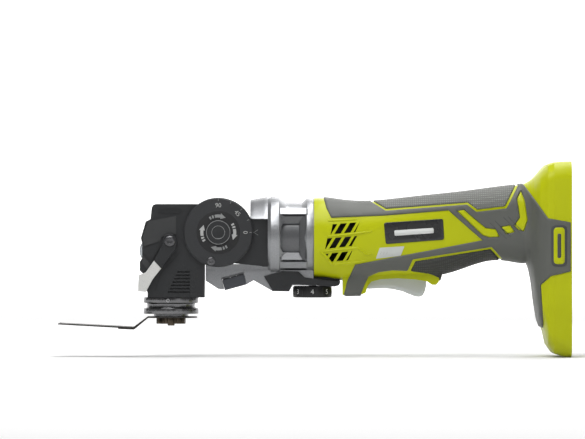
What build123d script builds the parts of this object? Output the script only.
"""Cordless oscillating multi-tool with a tilting head, bare of its battery, as an assembly of separate pieces.

Millimetres. +X points out of the battery face, +Y to the tool's right-hand side and +Z up; the working head is
at the -X end. The origin is the centre of the battery socket's mouth, on the flat battery face.
"""

import math
import os

from build123d import *

os.makedirs("parts", exist_ok=True)

# ---------------------------------------------------------------- driving dimensions
PIVOT_X = -221.0  # tilt axis of the head, along Y
AXIS_Z = -7.5  # height of the motor line, which crosses the tilt axis
NECK_Z = -11.0  # centre of the round neck
SPINDLE_X = -30.0  # accessory spindle, measured from the tilt axis
HOUSING_FRONT = -161.0  # joint between the gear case and the green housing
YOKE_FACE = -190.0  # joint between the yoke and the gear case
WALL = 2.6  # housing wall
RUBBER = 0.9  # overmould standing proud of the housing
PLATE = 0.5  # name plates standing proud of the housing
RUN = 0.05  # radial clearance of a running fit

SOCKET_HALF_WIDTH, SOCKET_HALF_HEIGHT, SOCKET_DEPTH = 17.0, 16.0, 57.0
FOOT_TOP, FOOT_BOTTOM, FOOT_HALF = 37.0, -85.5, 38.5

HEAD_HALF = 19.3  # half width of the head
BARREL_RADIUS, BARREL_HALF = 17.8, 14.3  # the head's round back, between the yoke's ears
BARREL_BORE = 15.6
TRUNNION_RADIUS = 10.0
EAR_RADIUS, EAR_INNER, EAR_OUTER = 20.4, 14.7, 19.5
DISC_RADIUS, DISC_INNER, DISC_OUTER = 21.8, 19.8, 22.8
SHAFT_RADIUS = 2.5
SPINDLE_RADIUS = 6.0
GEAR_MODULE, PINION_TEETH, IDLER_TEETH = 0.8, 12, 24
MESH_OPENING = 1.8  # the head pinion stands this far out of mesh, so that the head can tilt on its own
TRIGGER_PIVOT = (-125.7, -30.0)
DIAL_X, DIAL_THICKNESS = -162.0, 7.3

# Cross-sections along X: x, top, bottom, half width, corner radius.
BODY_SECTIONS = [
    (HOUSING_FRONT, 14.0, -36.2, 26.0, 21.0),
    (-150, 13.4, -37.0, 27.4, 21.0),
    (-128, 11.6, -36.8, 26.5, 19.0),
    (-107, 13.4, -35.0, 24.0, 16.5),
    (-85, 15.8, -34.0, 22.2, 14.5),
    (-65, 18.0, -28.5, 21.2, 13.5),
    (-44, 20.8, -24.2, 21.2, 13.5),
    (-20, 24.0, -20.0, 22.5, 13.5),
]
FOOT_SECTIONS = [
    (-32, 22.0, -21.0, 21.5, 14),
    (-27.5, 23.6, -24.2, 23.0, 14),
    (-25, 25.0, -30.0, 25.0, 13),
    (-23.2, 26.4, -38.5, 27.5, 13),
    (-21.6, 28.0, -51.0, 30.5, 13),
    (-19.6, 30.2, -62.5, 33.5, 13),
    (-16.8, 33.3, -69.5, 36.0, 13),
    (-14.8, 35.0, -78.0, 38.0, 12),
    (-11, 36.5, -83.3, FOOT_HALF, 11),
    (-4, FOOT_TOP, FOOT_BOTTOM, FOOT_HALF, 11),
    (0, FOOT_TOP, FOOT_BOTTOM, FOOT_HALF, 11),
]

SIDE = Plane.XZ  # sketches in (x, z); extrudes towards the tool's left side, -Y
AT_PIVOT = Plane(origin=(PIVOT_X, 0, AXIS_Z), x_dir=(1, 0, 0), z_dir=(0, -1, 0))
NECK_AXIS = Axis((0, 0, NECK_Z), (1, 0, 0))
SPINDLE_AXIS = Axis((PIVOT_X + SPINDLE_X, 0, 0), (0, 0, 1))


# ---------------------------------------------------------------- helpers
def save(builder, name):
    """Labels a finished piece and writes its STEP file."""
    builder.part.label = name
    export_step(builder.part, f"parts/{name}.step")


def save_halves(builder, name):
    """Splits a piece down the middle plane and writes its left and right shells."""
    for side, keep in (("left", Keep.TOP), ("right", Keep.BOTTOM)):
        with BuildPart() as half:
            add(builder.part)
            split(bisect_by=SIDE, keep=keep)
        save(half, f"{name}_{side}")


def save_pair(builder, name):
    """Writes a left-hand piece and its mirror image on the right."""
    save(builder, f"{name}_left")
    with BuildPart() as right:
        add(mirror(builder.part, about=SIDE))
    save(right, f"{name}_right")


def prism(points, near, far, plane=SIDE):
    """A prism of a side-view outline, from near to far on the left of the middle plane."""
    with BuildPart() as solid:
        with BuildSketch(plane.offset(near)):
            with BuildLine():
                Polyline(*points, close=True)
            make_face()
        extrude(amount=far - near)
    return solid.part


def both_sides(points, near, far, plane=SIDE):
    """The same prism on the left and on the right."""
    with BuildPart() as pair:
        add(prism(points, near, far, plane))
        add(prism(points, -far, -near, plane))
    return pair.part


def through(points, half, plane=SIDE):
    """The same prism, right across the middle plane."""
    return prism(points, -half, half, plane)


def pin_across(x, z, radius, near, far, plane=SIDE):
    """A round pin along Y, from near to far on the left of the middle plane."""
    with BuildPart() as pin:
        with BuildSketch(plane.offset(near)):
            with Locations((x, z)):
                Circle(radius)
        extrude(amount=far - near)
    return pin.part


def ring(plane, outer, inner, start, end):
    """A ring about a plane's normal."""
    with BuildPart() as solid:
        with BuildSketch(plane.offset(start)):
            Circle(outer)
            if inner:
                Circle(inner, mode=Mode.SUBTRACT)
        extrude(amount=end - start)
    return solid.part


def along_motor(outer, inner, start, end):
    """A ring about the motor line, from x = start to x = end."""
    return ring(Plane(origin=(0, 0, AXIS_Z), x_dir=(0, 1, 0), z_dir=(1, 0, 0)), outer, inner, start, end)


def along_neck(outer, inner, start, end):
    """A ring about the neck's centre line, from x = start to x = end."""
    return ring(Plane(origin=(0, 0, NECK_Z), x_dir=(0, 1, 0), z_dir=(1, 0, 0)), outer, inner, start, end)


def along_head_shaft(outer, inner, start, end, lift=0.0):
    """A ring about the head's shaft, with start and end measured from the tilt axis."""
    plane = Plane(origin=(PIVOT_X, 0, AXIS_Z + lift), x_dir=(0, 1, 0), z_dir=(1, 0, 0))
    return ring(plane, outer, inner, start, end)


def along_spindle(outer, inner, start, end):
    """A ring about the accessory spindle, with heights measured from the tilt axis."""
    return ring(Plane(origin=(PIVOT_X + SPINDLE_X, 0, AXIS_Z)), outer, inner, start, end)


def turned(points, axis, plane=SIDE):
    """A turned solid of a half profile drawn in the middle plane."""
    with BuildPart() as solid:
        with BuildSketch(plane):
            with BuildLine():
                Polyline(*points, close=True)
            make_face()
        revolve(axis=axis)
    return solid.part


def coil(radius, wire, pitch, height):
    """A helical spring standing on the origin."""
    with BuildPart() as spring:
        with BuildLine() as path:
            Helix(pitch=pitch, height=height, radius=radius)
        with BuildSketch(Plane(origin=path.line @ 0, z_dir=path.line % 0)):
            Circle(wire)
        sweep(is_frenet=True)
    return spring.part


def bevel_gear(teeth, mate, face, bore, hub):
    """A straight bevel gear on +Z with its cone's apex at the origin, and its first tooth towards +X."""
    size = GEAR_MODULE
    cone = math.atan2(teeth, mate)
    reach = size * math.hypot(teeth, mate) / 2
    tip, root, overlap = 0.8 * size, 1.1 * size, 0.12
    half_tooth = 0.2 * math.pi * size
    flank = math.tan(math.radians(20))

    def root_point(scale):
        radius = scale * (reach * math.sin(cone) - root * math.cos(cone))
        height = scale * (reach * math.cos(cone) + root * math.sin(cone))
        return radius, height

    def tooth_plane(scale):
        origin = (scale * reach * math.sin(cone), 0, scale * reach * math.cos(cone))
        return Plane(origin=origin, x_dir=(0, 1, 0), z_dir=(math.sin(cone), 0, math.cos(cone)))

    small = 1 - face / reach
    big_root, small_root = root_point(1), root_point(small)
    back = big_root[1] + hub
    with BuildPart() as tooth:
        for scale in (1, small):
            with BuildSketch(tooth_plane(scale)):
                with BuildLine():
                    wide = scale * (half_tooth + root * flank)
                    narrow = scale * (half_tooth - tip * flank)
                    Polyline((-wide, scale * root + overlap), (wide, scale * root + overlap),
                             (narrow, -scale * tip), (-narrow, -scale * tip), close=True)
                make_face()
        loft(ruled=True)
    with BuildPart() as gear:
        with BuildSketch(SIDE):
            with BuildLine():
                Polyline((bore, small_root[1]), small_root, big_root, (big_root[0], back), (bore, back),
                         close=True)
            make_face()
        revolve(axis=Axis.Z)
        with PolarLocations(0, teeth):
            add(tooth.part)
    return gear.part


def place(solid, plane):
    """Moves a solid drawn at the origin onto a plane."""
    with BuildPart() as placed:
        with Locations(plane):
            add(solid)
    return placed.part


def section_loft(sections, grow, ruled):
    """A loft through rounded rectangles square to X, grown outwards or shrunk inwards."""
    with BuildPart() as solid:
        for x, top, bottom, half, radius in sections:
            with BuildSketch(Plane.YZ.offset(x)):
                with Locations((0, (top + bottom) / 2)):
                    RectangleRounded(2 * (half + grow), top - bottom + 2 * grow, radius + grow)
        loft(ruled=ruled)
    return solid.part


# ---------------------------------------------------------------- housing
KNUCKLE = [(-143, -25), (-143, -46.8), (-131.5, -46.5), (-128.6, -45.4), (-127.4, -41.5), (-126.6, -38.4),
           (-126.6, -25)]
KNUCKLE_HALF = 15.5
GUARD = [(-128, -30), (-128, -42), (-124.9, -38.4), (-119, -36.9), (-108.3, -36.4), (-97.5, -37.0),
         (-89.5, -38.4), (-86.8, -40.4), (-84.2, -40.4), (-82.6, -38.4), (-81.5, -34.5), (-80, -26)]
GUARD_HALF = 14.0
TRIGGER_HALF = 7.5
HOUSING_BOSSES = [(-140, -29.5), (-76, 5.0), (-66.2, -17.0), (-13.5, 29.0), (-12, -45.0), (-12, -74.0)]
SCREW_RADIUS, SCREW_HEAD, SCREW_SEAT = 1.5, 2.9, 15.5


def outer_shape(grow):
    """The outside of body, handle and battery foot."""
    with BuildPart() as solid:
        add(section_loft(BODY_SECTIONS, grow, ruled=False))
        add(section_loft(FOOT_SECTIONS, grow, ruled=True))
    return solid.part


def skin(grow):
    """A thin layer over the housing, for the overmould and the plates."""
    with BuildPart() as layer:
        add(outer_shape(grow))
        add(SMOOTH, mode=Mode.SUBTRACT)
    return layer.part


# Rows of cooling slots: the outline of each row, and where its first bar stands at half the row's height.
VENT_ROWS = [
    ([(-149.4, -2.4), (-132.3, -1.0), (-135.2, -7.3), (-150.7, -8.7)], -147.1),
    ([(-152.7, -11.2), (-134.1, -9.7), (-137.5, -16.0), (-154.1, -17.9)], -150.2),
    ([(-153.8, -20.9), (-137.0, -19.1), (-139.7, -24.9), (-150.1, -25.8)], -152.1),
]


def vent_slots():
    """Cooling slots in three rows with slanted bars left between them, through both side walls."""
    lean, bar, pitch, reach = 0.6, 1.9, 5.7, 6.0
    with BuildPart() as slots:
        for outline, first in VENT_ROWS:
            middle = (outline[0][1] + outline[2][1]) / 2
            with BuildSketch(SIDE):
                with BuildLine():
                    Polyline(*outline, close=True)
                make_face()
                for i in range(4):
                    left = first + pitch * i - bar / 2
                    bottom, top = left - lean * reach, left + lean * reach
                    with BuildLine():
                        Polyline((bottom, middle - reach), (bottom + bar, middle - reach),
                                 (top + bar, middle + reach), (top, middle + reach), close=True)
                    make_face(mode=Mode.SUBTRACT)
            extrude(amount=45, both=True)
    return slots.part


def hollow_space():
    """The space for the motor and the switch, closed behind by the wall of the battery socket."""
    with BuildPart() as space:
        add(section_loft(BODY_SECTIONS, -WALL, ruled=False))
        with Locations((-12, 0, 0)):
            Box(100, 100, 100, mode=Mode.SUBTRACT)
        for x, z in HOUSING_BOSSES[:3]:
            add(pin_across(x, z, 4.0, -30, 30), mode=Mode.SUBTRACT)
    return space.part


def socket_space():
    """The battery socket in the handle, and the shallow skirt that takes the battery's top."""
    rim, skirt = 3.2, 5.0
    with BuildPart() as space:
        with BuildSketch(Plane.YZ.offset(-SOCKET_DEPTH)):
            RectangleRounded(2 * SOCKET_HALF_WIDTH, 2 * SOCKET_HALF_HEIGHT, 6)
        extrude(amount=SOCKET_DEPTH + 1)
        with BuildSketch(Plane.YZ.offset(-skirt)):
            with Locations((0, (FOOT_TOP + FOOT_BOTTOM) / 2)):
                RectangleRounded(2 * (FOOT_HALF - rim), FOOT_TOP - FOOT_BOTTOM - 2 * rim, 8)
        extrude(amount=skirt + 1)
    return space.part


def screw_holes():
    """Pilot holes from the middle, and counterbores from the right-hand side."""
    with BuildPart() as holes:
        for x, z in HOUSING_BOSSES:
            add(pin_across(x, z, SCREW_RADIUS, -SCREW_SEAT, 10))
            add(pin_across(x, z, SCREW_HEAD + 0.2, -45, -SCREW_SEAT))
    return holes.part


SMOOTH = outer_shape(0)
with BuildPart() as housing:
    add(SMOOTH)
    add(through(KNUCKLE, KNUCKLE_HALF))
    add(through(GUARD, GUARD_HALF))
    add(hollow_space(), mode=Mode.SUBTRACT)
    add(socket_space(), mode=Mode.SUBTRACT)
    add(vent_slots(), mode=Mode.SUBTRACT)
    add(screw_holes(), mode=Mode.SUBTRACT)
    trigger_slot = [(-130.4, -24), (-130.4, -49), (-87.7, -49), (-87.7, -24)]
    add(through(trigger_slot, TRIGGER_HALF + 0.5), mode=Mode.SUBTRACT)
    add(along_neck(22.9, 0, HOUSING_FRONT - 1, -154.8), mode=Mode.SUBTRACT)
    dial_bore = Plane(origin=(DIAL_X, 0, -45))
    add(ring(dial_bore, 3.4, 0, 0, 30), mode=Mode.SUBTRACT)
    add(pin_across(*TRIGGER_PIVOT, 1.5, -14, 14), mode=Mode.SUBTRACT)
save_halves(housing, "housing")

GUARD_SURROUND = [(-128, -33), (-128, -50), (-80, -50), (-80, -33)]
GREEN_PANEL_CUT = [(-161, 1.0), (-150.3, 1.6), (-76.5, 6.6), (-55.1, -12.6), (-135.1, -27.7), (-143, -46.5),
                   (-161, -46.5)]
with BuildPart() as grip:
    add(skin(RUBBER))
    add(through([(-154, 50), (-154, -60), (-26, -60), (-17.5, -66), (-19.2, -40.3), (-13.3, -34.8),
                 (-0.6, -31.5), (-1.4, -1.1), (-14.9, 1.4), (-29.3, 23.1), (-36, 50)], 60),
        mode=Mode.INTERSECT)
    add(through(GREEN_PANEL_CUT, 60), mode=Mode.SUBTRACT)
    add(through(KNUCKLE, KNUCKLE_HALF), mode=Mode.SUBTRACT)
    add(through(GUARD, GUARD_HALF), mode=Mode.SUBTRACT)
    add(through(GUARD_SURROUND, GUARD_HALF), mode=Mode.SUBTRACT)
    add(screw_holes(), mode=Mode.SUBTRACT)
    add(through(trigger_slot, TRIGGER_HALF + 0.5), mode=Mode.SUBTRACT)
save_halves(grip, "grip")

BADGE = [(-117.4, -1.4), (-80.1, 1.1), (-79.4, -12.1), (-116.2, -14.9)]
EMBLEM = [(-13.3, -5), (-10.5, -2.4), (-5.5, -2.4), (-2.7, -5), (-2.7, -26.4), (-5.5, -29), (-10.5, -29),
          (-13.3, -26.4)]
for plate_name, plate_outline, plate_height in (("badges", BADGE, PLATE),
                                                ("emblem_plates", EMBLEM, RUBBER + 0.3)):
    with BuildPart() as plates:
        add(skin(plate_height))
        add(both_sides(plate_outline, 5, 60), mode=Mode.INTERSECT)
        add(grip.part, mode=Mode.SUBTRACT)
    save(plates, plate_name)

with BuildPart() as housing_screws:
    for boss_x, boss_z in HOUSING_BOSSES:
        add(pin_across(boss_x, boss_z, SCREW_RADIUS, -SCREW_SEAT, 8))
        add(pin_across(boss_x, boss_z, SCREW_HEAD, -SCREW_SEAT - 2.2, -SCREW_SEAT))
save(housing_screws, "housing_screws")

with BuildPart() as terminal_block:
    with Locations((-SOCKET_DEPTH + 4, 0, 0)):
        Box(8, 26, 18)
save(terminal_block, "terminal_block")

with BuildPart() as battery_contacts:
    with Locations(*[(-SOCKET_DEPTH + 13, y, 0) for y in (-8, 0, 8)]):
        Box(10, 0.8, 8)
save(battery_contacts, "battery_contacts")


# ---------------------------------------------------------------- neck: gear case, yoke and chin panels
CASE_HALF = 15.0
NOSE_RADIUS, NOSE_END = 4.4, BARREL_BORE - 0.3
BULKHEAD = (-176, -171)
ARM = [(-229, -31.2), (-229, -37.8), (-221.2, -42.9), (-216.2, -43.5), (-203.2, -40), (-198.9, -37.6),
       (-186.9, -44.4), (-176.7, -44.6), (-174.4, -40.8), (-146.4, -40.8), (-144.6, -38.0), (-161.3, -38.0),
       (-161.3, -31.2)]
LOCK_BUTTON = [(-218.6, -37.6), (-216.9, -43.9), (-203.4, -40.2), (-205.1, -33.9)]
LOCK_TRAVEL, LOCK_GAP, LOCK_WEB_HALF = 1.5, 0.3, 6.0
LOCK_BLOCK = [(-229, -31.3), (-229, -27.5), (-200, -27.5), (-200, -31.3)]
CHIN = [(-192.5, -35), (-181, -31.8), (-170.7, -32.1), (-166.8, -35.7), (-161, -36.6), (-144.2, -38.2),
        (-145.4, -40.8), (-148.2, -41.5), (-174.6, -39.9), (-176.7, -44.4), (-186.9, -44.2)]


WAIST_POCKET = [(-182.2, -5), (-180.5, -2), (-170.2, -2), (-168.4, -5), (-168.4, -17), (-170.2, -20),
                (-180.5, -20), (-182.2, -17)]


def case_rib(angle):
    """One of the ribs that bridge the waist of the neck, at an angle from straight up."""
    turn = math.radians(angle)
    plane = Plane(origin=(0, 0, NECK_Z), x_dir=(1, 0, 0), z_dir=(0, -math.cos(turn), -math.sin(turn)))
    rib = [(-185, 21), (-185, 22.4), (-182.8, 25.4), (-165.8, 25.4), (-163.5, 24.2), (-163.5, 21)]
    return through(rib, 2.6, plane)


def lock_notch(travel):
    """The side view of the notch that the tilt-lock button fills, with room for it to move up."""
    rise = LOCK_AXIS_DIR * (travel + LOCK_GAP)
    top_left, bottom_left, bottom_right, top_right = LOCK_BUTTON
    return [(top_left[0] + rise.X - LOCK_GAP, top_left[1] + rise.Z),
            (bottom_left[0] - LOCK_GAP, bottom_left[1] - 1),
            (bottom_right[0] + LOCK_GAP, bottom_right[1] - 1),
            (top_right[0] + rise.X + LOCK_GAP, top_right[1] + rise.Z)]


def lock_web():
    """The middle of the arm above the button, which the button's top is cut away for."""
    drop = LOCK_AXIS_DIR * -(LOCK_TRAVEL + LOCK_GAP)
    top_left, _, _, top_right = LOCK_BUTTON
    outline = [(top_left[0] - 2, top_left[1] + 3), (top_left[0] + drop.X - 2, top_left[1] + drop.Z - 0.5),
               (top_right[0] + drop.X + 2, top_right[1] + drop.Z + 0.5), (top_right[0] + 2, top_right[1] + 3)]
    return through(outline, LOCK_WEB_HALF + LOCK_GAP)


LOCK_AXIS_DIR = Vector(-0.266, 0, 0.964).normalized()
LOCK_CENTRE = Vector(-210.9, 0, -38.2)
LOCK_PLANE = Plane(origin=LOCK_CENTRE, x_dir=(0, 1, 0), z_dir=LOCK_AXIS_DIR)
LOCK_PIN_TOP = 12.0

with BuildPart() as gear_case:
    profile = [(-190, 24.5), (-188, 26), (-183, 26), (-178.5, 22.6), (-168.5, 22.2), (-165.5, 25),
               (HOUSING_FRONT, 25), (HOUSING_FRONT, 22.8), (-155, 22.8), (-155, 20), (-168.2, 20),
               (-168.2, 16.5), (-186, 16.5), (-186, 22), (-190, 22)]
    add(turned([(x, NECK_Z + radius) for x, radius in profile], NECK_AXIS))
    add(both_sides(WAIST_POCKET, 18.5, 30), mode=Mode.SUBTRACT)
    for rib_angle in (48, 132, 228, 312):
        add(case_rib(rib_angle))
    add(along_neck(21, 0, *BULKHEAD))
    add(along_motor(NOSE_RADIUS, 0, PIVOT_X + NOSE_END, BULKHEAD[0]))
    with BuildPart(mode=Mode.PRIVATE) as bridge:
        hood = [(-201, 24), (-190, 26), (-190, 22), (-201, 20.8)]
        add(turned([(x, NECK_Z + radius) for x, radius in hood], NECK_AXIS))
        with Locations((-195, 0, 1 - 50)):
            Box(40, 100, 100, mode=Mode.SUBTRACT)
        add(pin_across(PIVOT_X, AXIS_Z, 22.5, -60, -EAR_OUTER), mode=Mode.SUBTRACT)
        add(pin_across(PIVOT_X, AXIS_Z, 22.5, EAR_OUTER, 60), mode=Mode.SUBTRACT)
    add(bridge.part)
    with BuildPart(mode=Mode.PRIVATE) as arm:
        add(through(ARM, CASE_HALF))
        add(through(LOCK_BLOCK, EAR_INNER - 0.3))
        add(along_neck(22, 0, YOKE_FACE, -150), mode=Mode.SUBTRACT)
        add(pin_across(PIVOT_X, AXIS_Z, BARREL_RADIUS + 0.8, -16, 16), mode=Mode.SUBTRACT)
    add(arm.part)
    add(through(lock_notch(0), CASE_HALF + 1), mode=Mode.SUBTRACT)
    add(both_sides(lock_notch(LOCK_TRAVEL), LOCK_WEB_HALF, CASE_HALF + 1), mode=Mode.SUBTRACT)
    add(ring(LOCK_PLANE, 2.0 + RUN, 0, 0, 30), mode=Mode.SUBTRACT)
    add(ring(LOCK_PLANE, 3.6, 0, 0, 7.6), mode=Mode.SUBTRACT)
    add(along_motor(8, 0, -174.5, -160), mode=Mode.SUBTRACT)
    add(along_motor(3, 0, -210, -160), mode=Mode.SUBTRACT)
    dial_seat = Plane(origin=(DIAL_X, 0, -42))
    add(ring(dial_seat, SHAFT_RADIUS + RUN, 0, -1, 16), mode=Mode.SUBTRACT)
    add(both_sides(CHIN, 13.9, 16.5), mode=Mode.SUBTRACT)
save(gear_case, "gear_case")

with BuildPart() as yoke:
    ears = [(-201, 1), (YOKE_FACE, 1), (YOKE_FACE, -29), (-215, -26.5)]
    add(both_sides(ears, EAR_INNER, EAR_OUTER))
    for near, far in ((-EAR_OUTER, -EAR_INNER), (EAR_INNER, EAR_OUTER)):
        add(pin_across(PIVOT_X, AXIS_Z, EAR_RADIUS, near, far))
    add(through([(-193.5, 1), (YOKE_FACE, 1), (YOKE_FACE, -29), (-193.5, -29)], EAR_OUTER))
    add(along_neck(21.95, 0, YOKE_FACE, -186))
    add(pin_across(PIVOT_X, AXIS_Z, TRUNNION_RADIUS + RUN, -25, 25), mode=Mode.SUBTRACT)
    add(along_motor(NOSE_RADIUS + 0.05, 0, -200, -180), mode=Mode.SUBTRACT)
    yoke_front = Plane(origin=(-193.5, 0, -14), x_dir=(0, 1, 0), z_dir=(1, 0, 0))
    with Locations(yoke_front):
        with GridLocations(22, 18, 2, 2):
            Hole(radius=1.5, depth=20)
save(yoke, "yoke")

with BuildPart() as yoke_screws:
    with BuildSketch(yoke_front.offset(-1.6)):
        with GridLocations(22, 18, 2, 2):
            Circle(2.7)
    extrude(amount=1.6)
    with BuildSketch(yoke_front):
        with GridLocations(22, 18, 2, 2):
            Circle(1.5)
    extrude(amount=7.4)
save(yoke_screws, "yoke_screws")

with BuildPart() as chin_panel:
    add(prism(CHIN, 14, 16.4))
    add(along_neck(26.1, 0, -190, -150), mode=Mode.SUBTRACT)
save_pair(chin_panel, "chin_panel")

with BuildPart() as dust_shield:
    with BuildSketch(AT_PIVOT.offset(-6)):
        Circle(NOSE_END)
        Circle(NOSE_END - 0.7, mode=Mode.SUBTRACT)
        with Locations((3 - 20, 0), (0, 10 + 20)):
            Rectangle(40, 40, mode=Mode.SUBTRACT)
    extrude(amount=12)
    add(along_motor(3, 0, -210, -200), mode=Mode.SUBTRACT)
save(dust_shield, "dust_shield")

with BuildPart() as lock_button:
    add(through(LOCK_BUTTON, CASE_HALF - 0.1))
    add(lock_web(), mode=Mode.SUBTRACT)
    add(ring(LOCK_PLANE, 2.0, 0, 0, LOCK_PIN_TOP))
save(lock_button, "lock_button")

with BuildPart() as speed_dial:
    dial_face = Plane(origin=(DIAL_X, 0, -48.5))
    with BuildSketch(dial_face):
        Circle(12.2)
    extrude(amount=DIAL_THICKNESS)
    chamfer(speed_dial.edges().filter_by(GeomType.CIRCLE), length=0.6)
    with BuildSketch(dial_face.offset(DIAL_THICKNESS)):
        Circle(SHAFT_RADIUS)
    extrude(amount=9.2)
save(speed_dial, "speed_dial")

# ---------------------------------------------------------------- motor
with BuildPart() as motor_can:
    add(along_motor(16, 14.8, -150, -105))
    add(along_motor(16, 5.0, -151.2, -150))
save(motor_can, "motor_can")

with BuildPart() as motor_magnets:
    add(along_motor(14.75, 12.0, -146, -112))
    with Locations((-129, 0, AXIS_Z)):
        Box(40, 9, 40, mode=Mode.SUBTRACT)
save(motor_magnets, "motor_magnets")

with BuildPart() as motor_end_cap:
    add(along_motor(16, 14.2, -105, -100))
    add(along_motor(16, 6.5, -100, -96))
save(motor_end_cap, "motor_end_cap")

with BuildPart() as carbon_brushes:
    with Locations((-102.5, -10, AXIS_Z), (-102.5, 10, AXIS_Z)):
        Box(4, 7.8, 4)
save(carbon_brushes, "carbon_brushes")

for bearing_name, bearing_outer, bearing_start, bearing_end in (("front_bearing", 8.0, -174.5, -169.5),
                                                                ("rear_bearing", 6.5, -100, -96)):
    with BuildPart() as bearing:
        add(along_motor(bearing_outer, SHAFT_RADIUS + RUN, bearing_start, bearing_end))
    save(bearing, bearing_name)

with BuildPart() as armature:
    with BuildSketch(Plane(origin=(-144, 0, AXIS_Z), x_dir=(0, 1, 0), z_dir=(1, 0, 0))):
        Circle(11.4)
        with PolarLocations(9.6, 8):
            Rectangle(4.4, 1.6, mode=Mode.SUBTRACT)
        Circle(SHAFT_RADIUS, mode=Mode.SUBTRACT)
    extrude(amount=30)
save(armature, "armature")

with BuildPart() as commutator:
    add(along_motor(6.0, SHAFT_RADIUS, -112, -100.5))
save(commutator, "commutator")

PINION_BIG = GEAR_MODULE * IDLER_TEETH / 2  # axial distance of a pinion's big end from the tilt axis
IDLER_BIG = GEAR_MODULE * PINION_TEETH / 2
with BuildPart() as rotor_shaft:
    add(along_motor(SHAFT_RADIUS, 0, PIVOT_X + 8, -96.5))
save(rotor_shaft, "rotor_shaft")

with BuildPart() as cooling_fan:
    add(along_motor(5, SHAFT_RADIUS, -166, -153.5))
    add(along_motor(15, 5, -154.7, -153.5))
    blade_plane = Plane(origin=(0, 0, AXIS_Z), x_dir=(0, 1, 0), z_dir=(1, 0, 0)).offset(-162)
    with BuildSketch(blade_plane):
        with PolarLocations(9.8, 9):
            Rectangle(9.8, 1.2)
    extrude(amount=7.4)
save(cooling_fan, "cooling_fan")

drive_plane = Plane(origin=(PIVOT_X, 0, AXIS_Z), x_dir=(0, 1, 0), z_dir=(1, 0, 0))
pinion = bevel_gear(PINION_TEETH, IDLER_TEETH, 3.0, SHAFT_RADIUS, 1.2)
with BuildPart() as drive_pinion:
    add(place(pinion, drive_plane))
save(drive_pinion, "drive_pinion")

half_pitch = math.pi / IDLER_TEETH
idler_plane = Plane(origin=(PIVOT_X, 0, AXIS_Z), x_dir=(math.cos(half_pitch), 0, math.sin(half_pitch)),
                    z_dir=(0, 1, 0))
with BuildPart() as idler_gear:
    add(place(bevel_gear(IDLER_TEETH, PINION_TEETH, 3.0, SHAFT_RADIUS, 1.5), idler_plane))
    with BuildSketch(Plane(origin=(PIVOT_X, 0, AXIS_Z), z_dir=(0, 1, 0)).offset(IDLER_BIG - 0.8)):
        Circle(SHAFT_RADIUS)
    extrude(amount=14)
save(idler_gear, "idler_gear")

with BuildPart() as idler_bush:
    with BuildSketch(Plane(origin=(PIVOT_X, 0, AXIS_Z), z_dir=(0, 1, 0)).offset(10)):
        Circle(4.5)
        Circle(SHAFT_RADIUS + RUN, mode=Mode.SUBTRACT)
    extrude(amount=8.5)
save(idler_bush, "idler_bush")

# ---------------------------------------------------------------- switch, trigger and speed control
SWITCH = (-93.0, -72.0, -26.4, -10.0)  # front, back, bottom, top
PLUNGER_X = -90.6
TRIGGER = [(-128.2, -27.6), (-123.2, -27.6), (-118, -32.6), (-89.9, -32.6), (-89.9, -40.3), (-92, -47.1),
           (-94.5, -48), (-98.5, -47.1), (-105.2, -44.2), (-116.5, -42.3), (-127, -42.8), (-128.2, -41)]

with BuildPart() as switch_body:
    with Locations(((SWITCH[0] + SWITCH[1]) / 2, 0, (SWITCH[2] + SWITCH[3]) / 2)):
        Box(SWITCH[1] - SWITCH[0], 17, SWITCH[3] - SWITCH[2])
    with BuildSketch(Plane(origin=(PLUNGER_X, 0, SWITCH[2] - 1))):
        Circle(2.05)
    extrude(amount=15, mode=Mode.SUBTRACT)
save(switch_body, "switch_body")

with BuildPart() as switch_plunger:
    with BuildSketch(Plane(origin=(PLUNGER_X, 0, TRIGGER[2][1] + 0.3))):
        Circle(2.0)
    extrude(amount=12)
save(switch_plunger, "switch_plunger")

with BuildPart() as trigger:
    with BuildSketch(SIDE.offset(-TRIGGER_HALF)):
        with BuildLine():
            Polyline(*TRIGGER, close=True)
        make_face()
        with Locations(TRIGGER_PIVOT):
            Circle(1.55, mode=Mode.SUBTRACT)
    extrude(amount=2 * TRIGGER_HALF)
    long_edges = trigger.edges().filter_by(lambda e: e.center().Z < -41.5).filter_by(GeomType.LINE)
    fillet([e for e in long_edges if abs(abs(e.center().Y) - TRIGGER_HALF) < 0.01], radius=1.5)
save(trigger, "trigger")

with BuildPart() as trigger_pin:
    add(pin_across(*TRIGGER_PIVOT, 1.5, -13.5, 13.5))
save(trigger_pin, "trigger_pin")

with BuildPart() as trigger_spring:
    add(place(coil(2.4, 0.4, 1.7, 6.8), Plane(origin=(-112, 0, TRIGGER[2][1] + 0.5))))
save(trigger_spring, "trigger_spring")

with BuildPart() as lock_spring:
    add(place(coil(2.9, 0.35, 1.1, 2.2), LOCK_PLANE.offset(4.6)))
save(lock_spring, "lock_spring")

with BuildPart() as speed_board:
    with Locations((DIAL_X, 0, -28.4)):
        Box(11, 12, 1.6)
    with BuildSketch(Plane(origin=(DIAL_X, 0, -30.4))):
        Circle(5)
    extrude(amount=1.2)
    with BuildSketch(Plane(origin=(DIAL_X, 0, -32))):
        Circle(SHAFT_RADIUS + 0.3)
    extrude(amount=10, mode=Mode.SUBTRACT)
save(speed_board, "speed_board")

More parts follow.
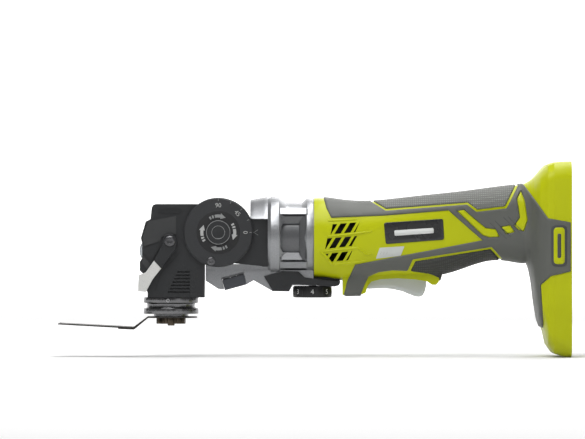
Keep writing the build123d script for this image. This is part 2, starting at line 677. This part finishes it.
# ---------------------------------------------------------------- tilting head
HEAD_TOP, HEAD_BOTTOM, HEAD_BACK = 17.8, -40.8, -8.8
HEAD_WALL = 2.2
HEAD_SIDE = [(0, HEAD_TOP), (-39.2, HEAD_TOP), (-41.0, HEAD_TOP - 0.7), (-41.8, HEAD_TOP - 2.4), (-42.5, 8.4),
             (-45.6, 6.8), (-48.6, -3.6), (-47.8, -7.0), (-47.8, -16.2), (-48.6, -17.4), (-48.6, -24.6), (-47, -26), (-44.4, -38), (-44.4, HEAD_BOTTOM),
             (HEAD_BACK, HEAD_BOTTOM), (HEAD_BACK, -20), (0, 0)]
HEAD_HOLLOW = [(0, HEAD_TOP - HEAD_WALL), (-39.6, HEAD_TOP - HEAD_WALL), (-40.4, 7.2), (-43.6, 5.4), (-46.2, -3.6),
               (-45.4, -7), (-45.4, -22), (-44.8, -26), (-42.4, -38), (-42.4, HEAD_BOTTOM + HEAD_WALL),
               (HEAD_BACK - HEAD_WALL, HEAD_BOTTOM + HEAD_WALL), (HEAD_BACK - HEAD_WALL, -18), (0, 0)]
SHAFT_BEARINGS = ((-18.0, -14.0), (-32.0, -27.5))
SPINDLE_BEARINGS = ((-26.0, -20.0, 13.0), (-43.0, -36.0, 14.0))
ECCENTRIC = 0.25


def head_body(outline, half, pocket_radius, barrel_radius, barrel_half):
    """The head's side outline with its flanks cut back round the ears, and its round barrel."""
    with BuildPart() as body:
        add(through(outline, half, AT_PIVOT))
        for near, far in ((-half - 1, -barrel_half), (barrel_half, half + 1)):
            add(pin_across(0, 0, pocket_radius, near, far, AT_PIVOT), mode=Mode.SUBTRACT)
        add(pin_across(0, 0, barrel_radius, -barrel_half, barrel_half, AT_PIVOT))
    return body.part


HEAD_OUTER = head_body(HEAD_SIDE, HEAD_HALF, 21.3, BARREL_RADIUS, BARREL_HALF)
with BuildPart() as seats:
    add(through([(-19.5, 16), (-12.8, 16), (-12.8, -17), (-19.5, -17)], 18, AT_PIVOT))
    add(through([(-33.5, 16), (-26.4, 16), (-26.4, -8), (-33.5, -8)], 18, AT_PIVOT))
    add(along_spindle(16.4, 0, HEAD_BOTTOM, -18))
    for near, far in ((-18.8, -9.5), (9.5, 18.8)):
        add(pin_across(0, 0, TRUNNION_RADIUS, near, far, AT_PIVOT))
    add(HEAD_OUTER, mode=Mode.INTERSECT)

with BuildPart() as head_case:
    add(HEAD_OUTER)
    add(head_body(HEAD_HOLLOW, HEAD_HALF - HEAD_WALL, 23.5, BARREL_BORE, BARREL_HALF - HEAD_WALL),
        mode=Mode.SUBTRACT)
    add(seats.part)
    add(pin_across(0, 0, TRUNNION_RADIUS, -DISC_INNER, DISC_INNER, AT_PIVOT))
    add(pin_across(0, 0, 12.6, -11, 11, AT_PIVOT), mode=Mode.SUBTRACT)
    add(pin_across(0, 0, 4.5, -18.5, -9, AT_PIVOT), mode=Mode.SUBTRACT)
    for start, end in SHAFT_BEARINGS:
        add(along_head_shaft(6, 0, start, end), mode=Mode.SUBTRACT)
    add(along_head_shaft(4.4, 0, -34, -12), mode=Mode.SUBTRACT)
    add(along_spindle(SPINDLE_BEARINGS[0][2], 0, -26, -17), mode=Mode.SUBTRACT)
    add(along_spindle(SPINDLE_BEARINGS[1][2], 0, -50, -36), mode=Mode.SUBTRACT)
    add(along_spindle(10, 0, -37, -20), mode=Mode.SUBTRACT)
    # the slot that lets the motor's nose stay level while the head tilts
    with BuildPart(mode=Mode.PRIVATE) as nose_slot:
        with BuildSketch(AT_PIVOT.offset(-NOSE_RADIUS - 0.35)):
            with BuildLine():
                reach = 24
                low = math.radians(-18)
                high = math.radians(108)
                middle = (reach * math.cos(math.pi / 4), reach * math.sin(math.pi / 4))
                start = (reach * math.cos(low), reach * math.sin(low))
                end = (reach * math.cos(high), reach * math.sin(high))
                Line((0, 0), start)
                ThreePointArc(start, middle, end)
                Line(end, (0, 0))
            make_face()
        extrude(amount=2 * (NOSE_RADIUS + 0.35))
    add(nose_slot.part, mode=Mode.SUBTRACT)
    # lamp window
    add(through([(-52, -7), (-44, -7), (-44, -16.2), (-52, -16.2)], 8.0, AT_PIVOT), mode=Mode.SUBTRACT)
    # a panel of grooves low on both flanks, wider towards the collar
    groove_pitch, groove_width, slant = 2.1, 1.0, 0.46
    for groove in range(7):
        level = -24.2 - groove_pitch * groove
        reach = -25.5 - slant * groove_pitch * groove
        outline = [(reach, level), (-17.9, level), (-17.9, level - groove_width),
                   (reach - slant * groove_width, level - groove_width)]
        add(both_sides(outline, HEAD_HALF - 1.4, HEAD_HALF + 1, AT_PIVOT), mode=Mode.SUBTRACT)
    # lever pivots
    for near, far in ((-25, -14), (14, 25)):
        add(pin_across(-30.4, -5.4, 1.8, near, far, AT_PIVOT), mode=Mode.SUBTRACT)
save_halves(head_case, "head_case")

with BuildPart() as disc:
    add(pin_across(0, 0, DISC_RADIUS, DISC_INNER, DISC_OUTER, AT_PIVOT))
    rim = disc.faces().sort_by(Axis.Y)[0].edges()
    chamfer(rim, length=0.8)
    screw_angle = math.radians(256)
    screw_x, screw_z = 18.6 * math.cos(screw_angle), 18.6 * math.sin(screw_angle)
    add(pin_across(screw_x, screw_z, 2.0, DISC_INNER, DISC_OUTER + 1, AT_PIVOT), mode=Mode.SUBTRACT)
save_pair(disc, "disc")

with BuildPart() as disc_screws:
    for near, far, head_near, head_far in ((DISC_INNER, DISC_OUTER, DISC_OUTER, DISC_OUTER + 0.6),
                                           (-DISC_OUTER, -DISC_INNER, -DISC_OUTER - 0.6, -DISC_OUTER)):
        add(pin_across(screw_x, screw_z, 2.0, near, far, AT_PIVOT))
        add(pin_across(screw_x, screw_z, 2.7, head_near, head_far, AT_PIVOT))
save(disc_screws, "disc_screws")

with BuildPart() as pivot_caps:
    for near in (DISC_OUTER, -DISC_OUTER - 0.7):
        add(pin_across(0, 0, 7.4, near, near + 0.7, AT_PIVOT))
save(pivot_caps, "pivot_caps")

with BuildPart() as head_front_pad:
    add(through([(-48.6, -17.8), (-49.4, -18.2), (-49.4, -24), (-48.6, -24.4)], 16, AT_PIVOT))
save(head_front_pad, "head_front_pad")

with BuildPart() as light_lens:
    add(through([(-45.4, -7), (-48.4, -7), (-49.4, -9), (-49.6, -11.6), (-49.4, -14.2), (-48.4, -16.2),
                 (-45.4, -16.2)], 8.0, AT_PIVOT))
save(light_lens, "light_lens")

with BuildPart() as collar:
    spindle_x = PIVOT_X + SPINDLE_X
    profile = [(14, -40.8), (17.3, -40.8), (17.3, -44.2), (15.1, -44.8), (15.1, -47.1), (17.3, -47.7),
               (17.3, -51.2), (6.4, -51.2), (6.4, -43), (14, -43)]
    add(turned([(spindle_x + radius, AXIS_Z + height) for radius, height in profile], SPINDLE_AXIS))
save(collar, "collar")

with BuildPart() as shaft_bearings:
    for start, end in SHAFT_BEARINGS:
        add(along_head_shaft(6, SHAFT_RADIUS + RUN, start, end))
save(shaft_bearings, "shaft_bearings")

with BuildPart() as spindle_bearings:
    for start, end, outer in SPINDLE_BEARINGS:
        add(along_spindle(outer, SPINDLE_RADIUS + RUN, start, end))
save(spindle_bearings, "spindle_bearings")

with BuildPart() as head_pinion:
    head_plane = Plane(origin=(PIVOT_X - MESH_OPENING, 0, AXIS_Z), x_dir=(0, 1, 0), z_dir=(-1, 0, 0))
    add(place(pinion, head_plane))
save(head_pinion, "head_pinion")

with BuildPart() as eccentric_shaft:
    add(along_head_shaft(SHAFT_RADIUS, 0, -36, -PINION_BIG + 0.6))
    add(along_head_shaft(3.0, 0, -42.4, -36, ECCENTRIC))
save(eccentric_shaft, "eccentric_shaft")

with BuildPart() as eccentric_bearing:
    add(along_head_shaft(6.0, 3.0, -41.8, -36.4, ECCENTRIC))
save(eccentric_bearing, "eccentric_bearing")

# ---------------------------------------------------------------- spindle and accessory
FORK_SLOT = 7.2
with BuildPart() as spindle:
    add(along_spindle(SPINDLE_RADIUS, 0, -51.5, -9))
    add(along_spindle(11, 0, -52.9, -51.5))
    add(along_spindle(4.0, 0, -60, -30), mode=Mode.SUBTRACT)
save(spindle, "spindle")

with BuildPart() as rocker_fork:
    add(along_spindle(8.6, 0, -16, -9.8))
    add(through([(-42, -16), (-30, -16), (-30, -9.8), (-42, -9.8)], 9.4, AT_PIVOT))
    add(both_sides([(-42, -9.9), (-36.6, -9.9), (-36.6, 6), (-42, 6)], FORK_SLOT, 9.4, AT_PIVOT))
    add(along_spindle(SPINDLE_RADIUS, 0, -20, 0), mode=Mode.SUBTRACT)
save(rocker_fork, "rocker_fork")

BLADE_SIDE = [(-13, -52.9), (-44.7, -52.9), (-53.4, -59.4), (-100.6, -57.0), (-100.6, -57.8), (-63, -59.9),
              (-62.8, -60.6), (-53.0, -61.0), (-44.3, -53.8), (-13, -53.8)]
BLADE_HALF = 15.0
TOOTH_PITCH, TOOTH_DEPTH = 1.5, 1.3
with BuildPart() as blade:
    add(through(BLADE_SIDE, BLADE_HALF, AT_PIVOT))
    tip_x = PIVOT_X - 100.6
    with BuildSketch(Plane.XY.offset(-75)):
        with Locations((PIVOT_X + SPINDLE_X, 0)):
            Circle(16.5)
        with BuildLine():
            Polyline((tip_x, -BLADE_HALF), (tip_x + 46, -BLADE_HALF), (PIVOT_X - 47, -11), (PIVOT_X - 34, -11),
                     (PIVOT_X - 34, 11), (PIVOT_X - 47, 11), (tip_x + 46, BLADE_HALF), (tip_x, BLADE_HALF),
                     close=True)
        make_face()
        tooth_count = int(2 * BLADE_HALF / TOOTH_PITCH)
        for tooth_index in range(tooth_count):
            tooth_y = -BLADE_HALF + TOOTH_PITCH * tooth_index
            with BuildLine():
                Polyline((tip_x - 0.1, tooth_y + 0.15), (tip_x + TOOTH_DEPTH, tooth_y + TOOTH_PITCH / 2),
                         (tip_x - 0.1, tooth_y + TOOTH_PITCH - 0.15), close=True)
            make_face(mode=Mode.SUBTRACT)
    extrude(amount=25, mode=Mode.INTERSECT)
    add(along_spindle(4.0, 0, -60, -50), mode=Mode.SUBTRACT)
save(blade, "blade")

with BuildPart() as clamp_bolt:
    with BuildSketch(Plane(origin=(PIVOT_X + SPINDLE_X, 0, AXIS_Z - 57.5))):
        Circle(9.3)
        with PolarLocations(9.9, 10):
            Circle(1.4, mode=Mode.SUBTRACT)
    extrude(amount=3.7)
    add(along_spindle(2.2, 0, -58.7, -57.5))
    add(along_spindle(4.0, 0, -53.8, -34))
save(clamp_bolt, "clamp_bolt")

# ---------------------------------------------------------------- release lever
LEVER_PIVOT = (-30.4, -5.4)
ARM_INNER, ARM_OUTER = 20.0, 22.9
UPPER_ARM = [(-34.9, -7.4), (-40.3, -17.7), (-35.8, -22.6), (-26.8, -10.5), (-26.1, -7.4)]
LOWER_ARM = [(-40.3, -17.7), (-45.4, -24.9), (-50, -26.8), (-50.3, -37), (-45.4, -37.3), (-41.2, -29.5),
             (-35.8, -22.6)]
with BuildPart() as lever_arms:
    add(both_sides(UPPER_ARM, ARM_INNER, ARM_OUTER, AT_PIVOT))
    for near, far in ((-ARM_OUTER, -ARM_INNER), (ARM_INNER, ARM_OUTER)):
        add(pin_across(*LEVER_PIVOT, 4.4, near, far, AT_PIVOT))
    add(pin_across(*LEVER_PIVOT, 2.2 + RUN, -30, 30, AT_PIVOT), mode=Mode.SUBTRACT)
save(lever_arms, "lever_arms")

with BuildPart() as lever_bail:
    add(both_sides(LOWER_ARM, ARM_INNER, ARM_OUTER, AT_PIVOT))
    add(through([(-50, -26.8), (-50.3, -37), (-47.8, -37), (-47.8, -26.8)], ARM_INNER, AT_PIVOT))
save(lever_bail, "lever_bail")

with BuildPart() as lever_screws:
    for side in (1, -1):
        for radius, near, far in ((1.8, 14.2, 19.4), (2.2, 19.4, 23.0), (3.4, 23.0, 24.2)):
            start, end = sorted((side * near, side * far))
            add(pin_across(*LEVER_PIVOT, radius, start, end, AT_PIVOT))
save(lever_screws, "lever_screws")
